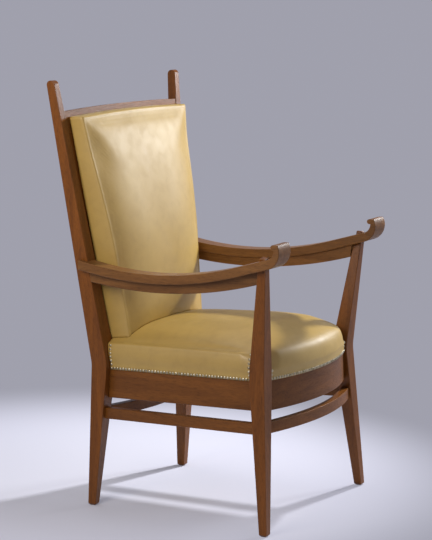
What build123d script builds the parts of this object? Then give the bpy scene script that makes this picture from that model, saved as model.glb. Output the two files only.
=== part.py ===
from build123d import *
from math import asin, ceil, cos, hypot, pi, radians, sin, sqrt, tan
import os

os.makedirs("parts", exist_ok=True)

# High-back open armchair. Millimetres, +Z up, it faces -Y, and the sitter's left is +X.
# Left-hand pieces are modelled and the right-hand ones are their mirror images.

# Rear posts, each one bent timber: leg below the knee, raked and splayed upright above it
overall_height = 1100.0
post_foot_x = 233.0
post_foot_y = 249.0
post_foot_width = 20.0
post_foot_depth = 22.0
post_knee_z = 374.0
post_knee_x = 212.0
post_knee_y = 226.0
post_knee_width = 50.0
post_knee_depth = 46.0
post_top_x = 303.0
post_top_y = 315.5
post_top_width = 22.0
post_top_depth = 23.0
post_crown_radius = 11.0

# Front legs, bent at the seat and tenoned up through the arms
leg_foot_x = 279.5
leg_foot_y = -274.5
leg_foot_width = 22.0
leg_foot_depth = 21.0
leg_knee_z = 387.0
leg_knee_x = 237.5
leg_knee_y = -239.5
leg_knee_width = 45.0
leg_knee_depth = 42.0
leg_top_x = 275.5
leg_top_y = -266.5
leg_top_width = 24.0
leg_top_depth = 21.0
knee_radius = 160.0
foot_chamfer = 5.0
edge_radius = 2.0

# Arms: a flat strip that dips between post and leg and scrolls up at the front
arm_dip_y = 62.0
arm_dip_z = 625.5
arm_dip_radius = 930.0
arm_rise_angle = 16.0
arm_thickness = 23.0
arm_outer_rear = 281.0
arm_outer_middle = 288.0
arm_outer_front = 312.5
arm_width_rear = 50.0
arm_width_front = 65.0
arm_lap_end_y = 259.0
scroll_front_y = -325.75
scroll_radius = 42.0
scroll_hollow_radius = 25.0
scroll_tip_thickness = 14.0
scroll_tip_rise = 20.0
scroll_tip_flat = 12.0
roll_radius = 6.5
through_tenon_width = 18.0
through_tenon_depth = 15.0
through_tenon_proud = 8.0

# Arm rails: the aprons let in under the arms
arm_rail_height = 25.0
arm_rail_bottom_radius = 1120.0
arm_rail_thickness = 20.0
arm_rail_outer_rear = 261.0
arm_rail_outer_front = 275.0

# Seat frame: four rails on one plane that falls towards the back
seat_tilt = 2.0
seat_rail_bottom = 292.0
seat_rail_height = 102.0
seat_rail_thickness = 24.0
seat_half_width_front = 236.0
seat_half_width_rear = 216.0
front_rail_end_y = -253.0
front_rail_bow = 44.0
rear_rail_y = 226.0
corner_block_leg = 62.0
corner_block_height = 45.0
corner_block_top_gap = 22.0
block_screw_diameter = 4.0
block_screw_length = 76.0
block_screw_head = 8.0

# Stretchers below the seat, on a plane parallel to the seat frame
stretcher_bottom = 238.0
stretcher_height = 28.0
stretcher_thickness = 20.0
side_stretcher_front_x = 250.0
side_stretcher_rear_x = 216.0
front_stretcher_end_y = -262.0
front_stretcher_bow = 39.0
rear_stretcher_end_y = 221.0
rear_stretcher_bow = 48.0

# Back frame between the posts, measured up the rake from the post knees
post_finial = 80.5
crest_height = 54.0
crest_arch = 6.0
lower_rail_bottom = 72.0
lower_rail_height = 50.0
stile_width = 42.0
back_frame_thickness = 22.0

# Joints
tenon_length = 12.0
tenon_share = 0.36
tenon_shoulder = 7.0
glue_gap = 0.15

# Seat upholstery: webbing, springs, canvas, stuffing and a nailed leather cover
web_width = 50.0
web_thickness = 1.6
web_count = 5
spring_count = 3
spring_pitch = 112.0
spring_radius = 30.0
spring_waist = 8.0
spring_turns = 4
spring_wire = 3.6
canvas_thickness = 1.4
leather_thickness = 2.2
soft_gap = 0.3
seat_show_wood = 75.0
seat_skirt_top = 92.0
seat_border_bulge = 4.5
seat_border_top = 142.0
seat_crown_top = 189.0
seat_crown_flat = 165.0
seat_corner_radius = 26.0

# Back upholstery
pad_half_width_base = 186.0
pad_flare = 0.125
pad_bottom = 46.0
pad_top_drop = 14.0
pad_top_arch = 6.0
pad_edge_depth = 66.0
pad_crown_depth = 91.0
pad_crown_flat = 150.0
pad_corner_radius = 14.0
back_panel_margin = 6.0
back_web_rows = 4
back_web_columns = 3

# Dome-headed upholstery nails
nail_head_diameter = 8.0
nail_head_height = 2.4
nail_shank_diameter = 1.6
nail_shank_length = 13.0
nail_pitch = 9.0
nail_pitch_upright = 10.7
nail_pitch_back = 20.0
nail_edge = 4.0


def save(piece, name):
    """Label one finished piece and write it to its own file."""
    piece.label = name
    export_step(piece, f"parts/{name}.step")


def save_pair(piece, name):
    """Write a left-hand piece and its mirror image."""
    save(piece, f"{name}_left")
    save(mirror(piece, about=Plane.YZ), f"{name}_right")


# Centre lines of post and leg: height, x, y, width, depth at foot, knee and top
post_line = (
    (0.0, post_foot_x, post_foot_y, post_foot_width, post_foot_depth),
    (post_knee_z, post_knee_x, post_knee_y, post_knee_width, post_knee_depth),
    (overall_height, post_top_x, post_top_y, post_top_width, post_top_depth),
)

# The straight part of the arm in front of the dip, on its top and on its underside
rise = radians(arm_rise_angle)
arm_centre_z = arm_dip_z + arm_dip_radius
arm_under_radius = arm_dip_radius + arm_thickness
under_start_y = arm_dip_y - arm_under_radius * sin(rise)
under_start_z = arm_centre_z - arm_under_radius * cos(rise)


def arm_underside(y):
    """Height of the arm's lower face at one place along the arm."""
    if y < under_start_y:
        return under_start_z + (under_start_y - y) * tan(rise)
    return arm_centre_z - sqrt(arm_under_radius**2 - (y - arm_dip_y) ** 2)


leg_line = (
    (0.0, leg_foot_x, leg_foot_y, leg_foot_width, leg_foot_depth),
    (leg_knee_z, leg_knee_x, leg_knee_y, leg_knee_width, leg_knee_depth),
    (arm_underside(leg_top_y), leg_top_x, leg_top_y, leg_top_width, leg_top_depth),
)


def section(line, z):
    """x, y, width and depth of a post or leg at one height."""
    low, high = line[:2] if z < line[1][0] else line[1:]
    share = (z - low[0]) / (high[0] - low[0])
    return [a + share * (b - a) for a, b in zip(low[1:], high[1:])]


def leg_slab(line, top_z, plane, crown=0.0, grow=0.0, toe=0.0):
    """Outline of a bent leg in the front view (XZ) or the side view (YZ), as a wide slab."""
    place, size = (1, 3) if plane == Plane.XZ else (2, 4)
    stations = [line[0], line[1], (top_z, *section(line, top_z))]
    low_side = [(s[place] - s[size] / 2 - grow, s[0]) for s in stations]
    high_side = [(s[place] + s[size] / 2 + grow, s[0]) for s in stations]
    with BuildPart() as slab:
        with BuildSketch(plane) as outline:
            with BuildLine():
                Polyline(*low_side, *reversed(high_side), close=True)
            make_face()
            fillet(outline.vertices().group_by(Axis.Y)[1], knee_radius)
            if toe:
                chamfer(outline.vertices().group_by(Axis.Y)[0], toe)
            if crown:
                fillet(outline.vertices().group_by(Axis.Y)[-1], crown)
        extrude(amount=overall_height, both=True)
    return slab.part


def leg_blank(line, top_z, crown=0.0, grow=0.0):
    """Square bent timber: its front outline crossed with its side outline."""
    with BuildPart() as blank:
        add(leg_slab(line, top_z, Plane.XZ, grow=grow))
        add(leg_slab(line, top_z, Plane.YZ, crown, grow), mode=Mode.INTERSECT)
    return blank.part


def foot_trim(line, top_z):
    """Bar a little larger than a leg, with the chamfers of the leg's foot."""
    larger = {"grow": edge_radius, "toe": foot_chamfer + edge_radius}
    with BuildPart() as trim:
        add(leg_slab(line, top_z + edge_radius, Plane.XZ, **larger))
        add(leg_slab(line, top_z + edge_radius, Plane.YZ, **larger), mode=Mode.INTERSECT)
    return trim.part


def upright_edges(part):
    """The long edges of a leg or post, without the seams across its faces."""
    return part.edges().filter_by(lambda edge: abs(edge.tangent_at(0.5).Z) > 0.8)


leg_blank_top = leg_line[2][0] + leg_top_depth
post_blank = leg_blank(post_line, overall_height, crown=post_crown_radius)
front_blank = leg_blank(leg_line, leg_blank_top)
side_trims = (
    leg_slab(post_line, overall_height, Plane.YZ),
    leg_slab(leg_line, leg_blank_top, Plane.YZ),
)
post_front_slab = leg_slab(post_line, overall_height, Plane.XZ)
leg_front_slab = leg_slab(leg_line, leg_blank_top, Plane.XZ)
post_trims = (post_front_slab, mirror(post_front_slab, about=Plane.YZ))
leg_trims = (leg_front_slab, mirror(leg_front_slab, about=Plane.YZ))

# Planes of the seat frame, of the stretchers and of the raked back
tilt = radians(seat_tilt)
seat_normal = (0, sin(tilt), cos(tilt))
seat_plane = Plane(origin=(0, 0, seat_rail_bottom), x_dir=(1, 0, 0), z_dir=seat_normal)
stretcher_plane = Plane(origin=(0, 0, stretcher_bottom), x_dir=(1, 0, 0), z_dir=seat_normal)
rake_run = post_top_y - post_knee_y
rake_rise = overall_height - post_knee_z
back_length = hypot(rake_run, rake_rise)
crest_top = back_length - post_finial
pad_top = crest_top - pad_top_drop
back_normal = (0, -rake_rise, rake_run)
back_plane = Plane(origin=(0, post_knee_y, post_knee_z), x_dir=(1, 0, 0), z_dir=back_normal)


def seat_height(y, above_rails_bottom):
    """Height over the floor of a place on the seat frame."""
    return seat_rail_bottom - y * tan(tilt) + above_rails_bottom


def post_back_x(up_rake, side=0.0):
    """x of a post's axis, or of its inner face with side -1, at a place up the rake."""
    share = up_rake / back_length
    width = post_knee_width + share * (post_top_width - post_knee_width)
    return post_knee_x + share * (post_top_x - post_knee_x) + side * width / 2


# Where the rails and stretchers meet the faces of posts and legs
rail_mid_front = seat_height(leg_knee_y, seat_rail_height / 2)
rail_mid_rear = seat_height(post_knee_y, seat_rail_height / 2)
leg_at_rail = section(leg_line, rail_mid_front)
post_at_rail = section(post_line, rail_mid_rear)
stretcher_mid = stretcher_bottom + stretcher_height / 2
leg_at_stretcher = section(leg_line, stretcher_mid - leg_knee_y * tan(tilt))
post_at_stretcher = section(post_line, stretcher_mid - post_knee_y * tan(tilt))
seat_front_y = leg_at_rail[1] + leg_at_rail[3] / 2
seat_rear_y = post_at_rail[1] - post_at_rail[3] / 2


def bar_between(plane, rear, front, thickness, height, lift=0.0):
    """Straight rail on a plane: rear and front are the places of its centre line."""
    with BuildPart() as bar:
        with BuildSketch(plane.offset(lift)):
            half = thickness / 2
            corners = [(rear[0] - half, rear[1]), (rear[0] + half, rear[1])]
            corners += [(front[0] + half, front[1]), (front[0] - half, front[1])]
            with BuildLine():
                Polyline(*corners, close=True)
            make_face()
        extrude(amount=height)
    return bar.part


def bow_radius(half_chord, bow):
    """Radius of an arc from its half chord and its bow."""
    return (half_chord**2 + bow**2) / (2 * bow)


def bowed_band(plane, reach, radius, centre_y, thickness, height, lift=0.0):
    """Rail bent to an arc on a plane: radius is that of its front face."""
    back_radius = radius - thickness
    arc_y = lambda x, r: centre_y - sqrt(r**2 - x**2)
    with BuildPart() as band:
        with BuildSketch(plane.offset(lift)):
            with BuildLine():
                front_ends = [(-reach, arc_y(reach, radius)), (reach, arc_y(reach, radius))]
                back_ends = [(-reach, arc_y(reach, back_radius)), (reach, arc_y(reach, back_radius))]
                ThreePointArc(front_ends[0], (0, centre_y - radius), front_ends[1])
                Line(front_ends[1], back_ends[1])
                ThreePointArc(back_ends[1], (0, centre_y - back_radius), back_ends[0])
                Line(back_ends[0], front_ends[0])
            make_face()
        extrude(amount=height)
    return band.part


def straight_rail(plane, rear, front, thickness, height, tenons, trims, grow=0.0):
    """Rail with tenons at both ends; with grow it is only the tenon bar for the mortises."""
    share = tenon_share * thickness + 2 * grow
    tall = height - 2 * tenon_shoulder + 2 * grow
    bar = bar_between(plane, *tenons(grow), share, tall, tenon_shoulder - grow)
    if grow:
        return bar
    with BuildPart() as rail:
        add(bar_between(plane, rear, front, thickness, height))
        for trim in trims:
            add(trim, mode=Mode.SUBTRACT)
        long_edges = rail.edges().filter_by(lambda edge: edge.length > height * 2)
        fillet(long_edges, edge_radius)
        add(bar)
    return rail.part


def bowed_rail(plane, reach, radius, centre_y, thickness, height, trims, grow=0.0):
    """Bowed rail with tenons; with grow it is only the tenon bar for the mortises."""
    inset = thickness * (1 - tenon_share) / 2 - grow
    tall = height - 2 * tenon_shoulder + 2 * grow
    slim = thickness - 2 * inset
    lift = tenon_shoulder - grow
    bar = bowed_band(plane, reach + grow, radius - inset, centre_y, slim, tall, lift)
    if grow:
        return bar
    with BuildPart() as rail:
        add(bowed_band(plane, reach, radius, centre_y, thickness, height))
        for trim in trims:
            add(trim, mode=Mode.SUBTRACT)
        add(bar)
    return rail.part


def seat_side_x(y):
    """x of the outer face of the side seat rail."""
    share = (y - seat_front_y) / (seat_rear_y - seat_front_y)
    return seat_half_width_front + share * (seat_half_width_rear - seat_half_width_front)


def side_rail(grow=0.0):
    half = seat_rail_thickness / 2
    line_x = lambda y: seat_side_x(y) - half

    def tenons(extra):
        rear_end = seat_rear_y + tenon_length + extra
        front_end = seat_front_y - tenon_length - extra
        return (line_x(rear_end), rear_end), (line_x(front_end), front_end)

    rear = (line_x(post_at_rail[1]), post_at_rail[1])
    front = (line_x(leg_at_rail[1]), leg_at_rail[1])
    sizes = (seat_rail_thickness, seat_rail_height)
    return straight_rail(seat_plane, rear, front, *sizes, tenons, side_trims, grow)


front_rail_inner_x = leg_at_rail[0] - leg_at_rail[2] / 2
front_rail_radius = bow_radius(front_rail_inner_x, front_rail_bow)
front_rail_centre_y = front_rail_end_y - front_rail_bow + front_rail_radius


def front_rail(grow=0.0):
    reach = front_rail_inner_x + tenon_length
    sizes = (front_rail_radius, front_rail_centre_y, seat_rail_thickness, seat_rail_height)
    return bowed_rail(seat_plane, reach, *sizes, leg_trims, grow)


def rear_rail(grow=0.0):
    """Straight rail across the back of the seat, between the posts."""
    inner_x = post_at_rail[0] - post_at_rail[2] / 2
    slim = tenon_share * seat_rail_thickness + 2 * grow
    tall = seat_rail_height - 2 * tenon_shoulder + 2 * grow
    with BuildPart() as rail:
        if not grow:
            with BuildSketch(seat_plane):
                with Locations((0, rear_rail_y)):
                    Rectangle(2 * post_at_rail[0], seat_rail_thickness)
            extrude(amount=seat_rail_height)
            for trim in post_trims:
                add(trim, mode=Mode.SUBTRACT)
        with BuildSketch(seat_plane.offset(tenon_shoulder - grow)):
            with Locations((0, rear_rail_y)):
                Rectangle(2 * (inner_x + tenon_length + grow), slim)
        extrude(amount=tall)
    return rail.part


def side_stretcher(grow=0.0):
    front_y = leg_at_stretcher[1] + leg_at_stretcher[3] / 2
    rear_y = post_at_stretcher[1] - post_at_stretcher[3] / 2
    fall = (side_stretcher_rear_x - side_stretcher_front_x) / (rear_y - front_y)
    line_x = lambda y: side_stretcher_front_x + (y - front_y) * fall

    def tenons(extra):
        rear_end = rear_y + tenon_length + extra
        front_end = front_y - tenon_length - extra
        return (line_x(rear_end), rear_end), (line_x(front_end), front_end)

    rear = (line_x(post_at_stretcher[1]), post_at_stretcher[1])
    front = (line_x(leg_at_stretcher[1]), leg_at_stretcher[1])
    sizes = (stretcher_thickness, stretcher_height)
    return straight_rail(stretcher_plane, rear, front, *sizes, tenons, side_trims, grow)


def cross_stretcher(support, end_y, bow, trims, grow=0.0):
    """Bowed stretcher between the two front legs or the two rear posts."""
    inner_x = support[0] - support[2] / 2
    radius = bow_radius(inner_x, bow)
    sizes = (radius, end_y - bow + radius, stretcher_thickness, stretcher_height)
    return bowed_rail(stretcher_plane, inner_x + tenon_length, *sizes, trims, grow)


def front_stretcher(grow=0.0):
    return cross_stretcher(
        leg_at_stretcher, front_stretcher_end_y, front_stretcher_bow, leg_trims, grow
    )


def rear_stretcher(grow=0.0):
    return cross_stretcher(
        post_at_stretcher, rear_stretcher_end_y, rear_stretcher_bow, post_trims, grow
    )


# Arm rail, its top following the underside of the arm
post_at_arm = section(post_line, arm_underside(arm_lap_end_y))
leg_at_arm = section(leg_line, arm_underside(leg_top_y) - arm_rail_height / 2)
arm_rear_y = post_at_arm[1] - post_at_arm[3] / 2
arm_front_y = leg_at_arm[1] + leg_at_arm[3] / 2
arm_rail_low_z = arm_dip_z - arm_thickness - arm_rail_height


def arm_rail_bottom(y):
    rise_here = arm_rail_bottom_radius - sqrt(arm_rail_bottom_radius**2 - (y - arm_dip_y) ** 2)
    return arm_rail_low_z + rise_here


def arm_rail_solid(rear_y, front_y, thickness, margin):
    """Strip under the arm, margin in from the arm's underside and from its own lower edge."""
    slope = (arm_rail_outer_front - arm_rail_outer_rear) / (arm_front_y - arm_rear_y)
    middle_x = lambda y: arm_rail_outer_rear + (y - arm_rear_y) * slope - arm_rail_thickness / 2
    ends = [(rear_y, arm_underside(rear_y) - margin), (under_start_y, under_start_z - margin)]
    ends += [(front_y, arm_underside(front_y) - margin), (front_y, arm_rail_bottom(front_y) + margin)]
    ends += [(rear_y, arm_rail_bottom(rear_y) + margin)]
    middle_y = (rear_y + under_start_y) / 2
    with BuildPart() as strip:
        with BuildSketch(Plane.YZ):
            with BuildLine():
                ThreePointArc(ends[0], (middle_y, arm_underside(middle_y) - margin), ends[1])
                Line(ends[1], ends[2])
                Line(ends[2], ends[3])
                ThreePointArc(ends[3], (arm_dip_y, arm_rail_low_z + margin), ends[4])
                Line(ends[4], ends[0])
            make_face()
        extrude(amount=2 * arm_rail_outer_front)
        half = thickness / 2
        corners = [(middle_x(rear_y) - half, rear_y), (middle_x(rear_y) + half, rear_y)]
        corners += [(middle_x(front_y) + half, front_y), (middle_x(front_y) - half, front_y)]
        with BuildSketch(Plane.XY):
            with BuildLine():
                Polyline(*corners, close=True)
            make_face()
        extrude(amount=overall_height, mode=Mode.INTERSECT)
    return strip.part


def arm_rail(grow=0.0):
    share = tenon_share * arm_rail_thickness + 2 * grow
    ends = (arm_rear_y + tenon_length + grow, arm_front_y - tenon_length + leg_top_depth / 4 - grow)
    bar = arm_rail_solid(*ends, share, tenon_shoulder - grow)
    if grow:
        return bar
    with BuildPart() as rail:
        add(arm_rail_solid(post_at_arm[1], leg_at_arm[1], arm_rail_thickness, 0.0))
        for trim in side_trims:
            add(trim, mode=Mode.SUBTRACT)
        long_edges = rail.edges().filter_by(lambda edge: edge.length > 4 * arm_rail_height)
        fillet(long_edges.sort_by(Axis.Z)[:2], edge_radius)
        add(bar)
    return rail.part


# Through tenon of the front leg, along the leg's upper axis
leg_axis = Vector(
    leg_top_x - leg_knee_x, leg_top_y - leg_knee_y, arm_underside(leg_top_y) - leg_knee_z
).normalized()
leg_top_plane = Plane(
    origin=(leg_top_x, leg_top_y, arm_underside(leg_top_y)), x_dir=(1, 0, 0), z_dir=leg_axis
)


def through_tenon(grow=0.0):
    length = arm_thickness / cos(rise) + through_tenon_proud
    with BuildPart() as tenon:
        with BuildSketch(leg_top_plane.offset(-arm_thickness)):
            Rectangle(through_tenon_width + 2 * grow, through_tenon_depth + 2 * grow)
        extrude(amount=length + arm_thickness)
        if not grow:
            chamfer(tenon.faces().sort_by(Axis.Z)[-1].edges(), edge_radius)
    return tenon.part


def arm_stub(grow=0.0):
    """Stub tenon of the arm in the front face of the post."""
    height = arm_thickness / 2 + 2 * grow
    width = arm_thickness + 2 * grow
    middle_z = arm_underside(arm_rear_y) + arm_thickness / 2
    with BuildPart() as stub:
        with BuildSketch(Plane.XZ.offset(-arm_rear_y - tenon_length - grow)):
            with Locations((post_at_arm[0], middle_z)):
                Rectangle(width, height)
        extrude(amount=2 * tenon_length)
    return stub.part


# Crest rail and lower rail of the back, and the two upholstery stiles between them
def back_bar(low, high, half_reach, thickness, arch=0.0):
    """Bar across the back, half_reach(up_rake) wide to each side, with an arched top."""
    with BuildPart() as bar:
        with BuildSketch(back_plane.offset(-thickness / 2)):
            with BuildLine():
                Polyline((half_reach(high), high), (half_reach(low), low), (-half_reach(low), low))
                Line((-half_reach(low), low), (-half_reach(high), high))
                if arch:
                    ThreePointArc((-half_reach(high), high), (0, high + arch), (half_reach(high), high))
                else:
                    Line((-half_reach(high), high), (half_reach(high), high))
            make_face()
        extrude(amount=thickness)
    return bar.part


def back_rail(low, high, thickness, arch=0.0, grow=0.0):
    shoulder = tenon_shoulder - grow
    slim = tenon_share * thickness + 2 * grow
    tenon_reach = lambda up: post_back_x(up, -1) + tenon_length + grow
    bar = back_bar(low + shoulder, high - shoulder, tenon_reach, slim)
    if grow:
        return bar
    with BuildPart() as rail:
        add(back_bar(low, high, post_back_x, thickness, arch))
        for trim in post_trims:
            add(trim, mode=Mode.SUBTRACT)
        add(bar)
    return rail.part


def crest_rail(grow=0.0):
    return back_rail(crest_top - crest_height, crest_top, back_frame_thickness, crest_arch, grow)


def lower_rail(grow=0.0):
    top = lower_rail_bottom + lower_rail_height
    return back_rail(lower_rail_bottom, top, back_frame_thickness, 0.0, grow)


def back_stile(grow=0.0):
    """Upholstery stile against the inner face of the left post."""
    low = lower_rail_bottom + lower_rail_height
    high = crest_top - crest_height
    reach = tenon_length / 2 + grow
    shoulder = tenon_shoulder - grow
    slim = tenon_share * back_frame_thickness + 2 * grow
    inner = lambda up: post_back_x(up, -1) - stile_width
    with BuildPart() as stile:
        if not grow:
            with BuildSketch(back_plane.offset(-back_frame_thickness / 2)):
                with BuildLine():
                    corners = [(inner(low), low), (post_back_x(low), low)]
                    corners += [(post_back_x(high), high), (inner(high), high)]
                    Polyline(*corners, close=True)
                make_face()
            extrude(amount=back_frame_thickness)
            add(post_trims[0], mode=Mode.SUBTRACT)
        with BuildSketch(back_plane.offset(-slim / 2)):
            with BuildLine():
                tops = (high + reach, low - reach)
                outer_x = [post_back_x(up, -1) - shoulder for up in tops]
                inner_x = [inner(up) + shoulder for up in tops]
                corners = [(outer_x[0], tops[0]), (outer_x[1], tops[1])]
                corners += [(inner_x[1], tops[1]), (inner_x[0], tops[0])]
                Polyline(*corners, close=True)
            make_face()
        extrude(amount=slim)
    return stile.part


def cut_both_sides(piece, cutter):
    """Piece without the cutter and without its mirror image."""
    with BuildPart() as rest:
        add(piece)
        add(cutter, mode=Mode.SUBTRACT)
        add(mirror(cutter, about=Plane.YZ), mode=Mode.SUBTRACT)
    return rest.part


def whole_rail(rail):
    """Rail together with the glue space round its tenons."""
    with BuildPart() as whole:
        add(rail())
        add(rail(glue_gap))
    return whole.part


# Rear posts, left and right
with BuildPart() as rear_post:
    add(post_blank)
    fillet(upright_edges(rear_post), edge_radius)
    add(foot_trim(post_line, overall_height), mode=Mode.INTERSECT)
    seat_tenons = (side_rail, rear_rail, side_stretcher, rear_stretcher)
    for tenon in (*seat_tenons, crest_rail, lower_rail, arm_rail, arm_stub):
        add(tenon(glue_gap), mode=Mode.SUBTRACT)
save_pair(rear_post.part, "rear_post")

# Front legs, cut to the underside of the arm, with the through tenon on top
with BuildPart() as front_leg:
    add(front_blank)
    fillet(upright_edges(front_leg), edge_radius)
    add(foot_trim(leg_line, leg_blank_top), mode=Mode.INTERSECT)
    top_point = (0, leg_top_y, arm_underside(leg_top_y))
    underside = Plane(origin=top_point, x_dir=(1, 0, 0), z_dir=(0, sin(rise), cos(rise)))
    split(bisect_by=underside, keep=Keep.BOTTOM)
    add(through_tenon())
    for tenon in (side_rail, front_rail, side_stretcher, front_stretcher, arm_rail):
        add(tenon(glue_gap), mode=Mode.SUBTRACT)
save_pair(front_leg.part, "front_leg")

# Seat frame, the cross rails cut back where the side rails' tenons meet them in the corners
side_tenons = whole_rail(side_rail)
save_pair(side_rail(), "seat_side_rail")
save(cut_both_sides(front_rail(), side_tenons), "seat_front_rail")
save(cut_both_sides(rear_rail(), side_tenons), "seat_rear_rail")

# Stretchers
stretcher_tenons = whole_rail(side_stretcher)
save_pair(side_stretcher(), "side_stretcher")
save(cut_both_sides(front_stretcher(), stretcher_tenons), "front_stretcher")
save(cut_both_sides(rear_stretcher(), stretcher_tenons), "rear_stretcher")

# Arm rails
save_pair(arm_rail(), "arm_rail")

# Arms
top_start_y = arm_dip_y - arm_dip_radius * sin(rise)
top_start_z = arm_centre_z - arm_dip_radius * cos(rise)
scroll_y = scroll_front_y + scroll_radius
scroll_run = (under_start_y + scroll_radius * sin(rise) - scroll_y) / cos(rise)
scroll_z = under_start_z + scroll_run * sin(rise) + scroll_radius * cos(rise)
hollow_y = scroll_front_y + scroll_tip_thickness + scroll_hollow_radius
hollow_z = top_start_z + (scroll_hollow_radius - (hollow_y - top_start_y) * sin(rise)) / cos(rise)
tip_z = scroll_z + scroll_tip_rise
tip_y = scroll_y - sqrt(scroll_radius**2 - scroll_tip_rise**2)
roll_y = tip_y + scroll_tip_flat
roll_z = tip_z - roll_radius


def on_circle(y, z, radius, angle):
    """Point of a circle in the side view, the angle measured from the rear, upwards."""
    return (y + radius * cos(radians(angle)), z + radius * sin(radians(angle)))


with BuildPart() as arm:
    with BuildSketch(Plane.YZ):
        with BuildLine():
            arc_top = lambda y: arm_centre_z - sqrt(arm_dip_radius**2 - (y - arm_dip_y) ** 2)
            rear_top = (arm_lap_end_y, arc_top(arm_lap_end_y))
            rear_low = (arm_lap_end_y, arm_underside(arm_lap_end_y))
            hollow = (hollow_y, hollow_z, scroll_hollow_radius)
            hollow_low = on_circle(*hollow, 270 - arm_rise_angle)
            hollow_mid = on_circle(*hollow, 225 - arm_rise_angle / 2)
            hollow_front = on_circle(*hollow, 180)
            roll_start = on_circle(roll_y, roll_z, roll_radius, -120)
            scroll_low = on_circle(scroll_y, scroll_z, scroll_radius, 270 - arm_rise_angle)
            ThreePointArc(rear_top, (arm_dip_y, arm_dip_z), (top_start_y, top_start_z))
            Line((top_start_y, top_start_z), hollow_low)
            ThreePointArc(hollow_low, hollow_mid, hollow_front)
            Line(hollow_front, roll_start)
            ThreePointArc(
                roll_start,
                on_circle(roll_y, roll_z, roll_radius, -60),
                on_circle(roll_y, roll_z, roll_radius, 0),
            )
            ThreePointArc(
                on_circle(roll_y, roll_z, roll_radius, 0),
                on_circle(roll_y, roll_z, roll_radius, 45),
                (roll_y, tip_z),
            )
            Line((roll_y, tip_z), (tip_y, tip_z))
            ThreePointArc((tip_y, tip_z), (scroll_front_y, scroll_z), scroll_low)
            Line(scroll_low, (under_start_y, under_start_z))
            ThreePointArc(
                (under_start_y, under_start_z), (arm_dip_y, arm_dip_z - arm_thickness), rear_low
            )
            Line(rear_low, rear_top)
        make_face()
    extrude(amount=2 * arm_outer_front)
    with BuildSketch(Plane.XY):
        with BuildLine():
            middle_y = (arm_lap_end_y + scroll_front_y) / 2
            inner_rear = arm_outer_rear - arm_width_rear
            inner_front = arm_outer_front - arm_width_front
            outer_ends = ((arm_outer_rear, arm_lap_end_y), (arm_outer_front, scroll_front_y))
            inner_ends = ((inner_front, scroll_front_y), (inner_rear, arm_lap_end_y))
            ThreePointArc(outer_ends[0], (arm_outer_middle, middle_y), outer_ends[1])
            Polyline(outer_ends[1], *inner_ends, outer_ends[0])
        make_face()
    extrude(amount=overall_height, mode=Mode.INTERSECT)
    long_edges = arm.edges().filter_by(lambda edge: edge.length > 2 * arm_width_front)
    fillet(long_edges.sort_by(Axis.Z)[:2], edge_radius)
    add(post_blank, mode=Mode.SUBTRACT)
    add(through_tenon(glue_gap), mode=Mode.SUBTRACT)
    add(arm_stub())
save_pair(arm.part, "arm")

# Back frame, the rails mortised for the stiles
stile_tenons = back_stile(glue_gap)
save(cut_both_sides(lower_rail(), stile_tenons), "back_lower_rail")
save(cut_both_sides(crest_rail(), stile_tenons), "crest_rail")
save_pair(back_stile(), "back_stile")


# Seat upholstery: outlines parallel to the seat frame
soft_posts = leg_blank(post_line, overall_height, grow=soft_gap)
soft_legs = leg_blank(leg_line, leg_blank_top, grow=soft_gap)
seat_back_y = rear_rail_y + seat_rail_thickness / 2
seat_nose_y = front_rail_centre_y - front_rail_radius


def seat_slice(grow, corner=0.0):
    """Outline of the seat frame in its own plane, grown outwards, with rounded corners."""
    front_y = seat_nose_y - seat_rail_thickness
    back_y = seat_back_y + grow
    sides = [(seat_side_x(y) + grow, y) for y in (front_y, back_y)]
    with BuildSketch() as outline:
        with BuildLine():
            Polyline(*sides, (-sides[1][0], back_y), (-sides[0][0], front_y), close=True)
        make_face()
        with Locations((0, front_rail_centre_y)):
            Circle(front_rail_radius + grow, mode=Mode.INTERSECT)
        if corner:
            fillet(outline.vertices(), corner)
    return outline.sketch


def crown(inset, flat, low, high):
    """Height of a stuffed crown at one distance in from its edge."""
    return low + (high - low) * (1 - (1 - inset / flat) ** 2)


def seat_form(shrink, bottom):
    """Seat cover's outside, or with shrink a parallel form inside it, down to a lower edge."""
    skin = soft_gap + leather_thickness - shrink
    border = seat_border_top - seat_skirt_top
    steps = [(seat_skirt_top + border * f, 4 * seat_border_bulge * f * (1 - f)) for f in (0, 0.3, 0.6, 0.9)]
    for share in (0.05, 0.16, 0.32, 0.53, 0.76, 1.0):
        inset = share * seat_crown_flat
        height = crown(inset, seat_crown_flat, seat_border_top, seat_crown_top)
        steps.append((height - shrink, -inset))
    with BuildPart() as form:
        with BuildSketch(seat_plane.offset(bottom)):
            add(seat_slice(skin, seat_corner_radius))
        extrude(amount=seat_skirt_top - bottom)
        for lift, grow in steps:
            with BuildSketch(seat_plane.offset(lift)):
                add(seat_slice(skin + grow, seat_corner_radius - grow / 8))
        loft(ruled=True)
    return form.part


def clear_of_legs(piece):
    """Soft piece cut out around the four uprights."""
    return cut_both_sides(cut_both_sides(piece, soft_posts), soft_legs)


# Seat cover: leather with nailed skirt, stuffed border and crown
seat_outside = seat_form(0.0, seat_show_wood)
with BuildPart() as seat_leather:
    add(seat_outside)
    add(seat_form(leather_thickness, seat_show_wood - leather_thickness), mode=Mode.SUBTRACT)
save(clear_of_legs(seat_leather.part), "seat_leather")

# Seat stuffing on the spring canvas
canvas_top = seat_rail_height + canvas_thickness
with BuildPart() as seat_stuffing:
    add(seat_form(leather_thickness + soft_gap, seat_show_wood))
    split(bisect_by=seat_plane.offset(canvas_top + soft_gap), keep=Keep.TOP)
save(clear_of_legs(seat_stuffing.part), "seat_stuffing")

# Spring canvas on top of the rails
with BuildPart() as spring_canvas:
    with BuildSketch(seat_plane.offset(seat_rail_height)):
        add(seat_slice(-seat_rail_thickness / 4))
    extrude(amount=canvas_thickness)
save(clear_of_legs(spring_canvas.part), "spring_canvas")


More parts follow.
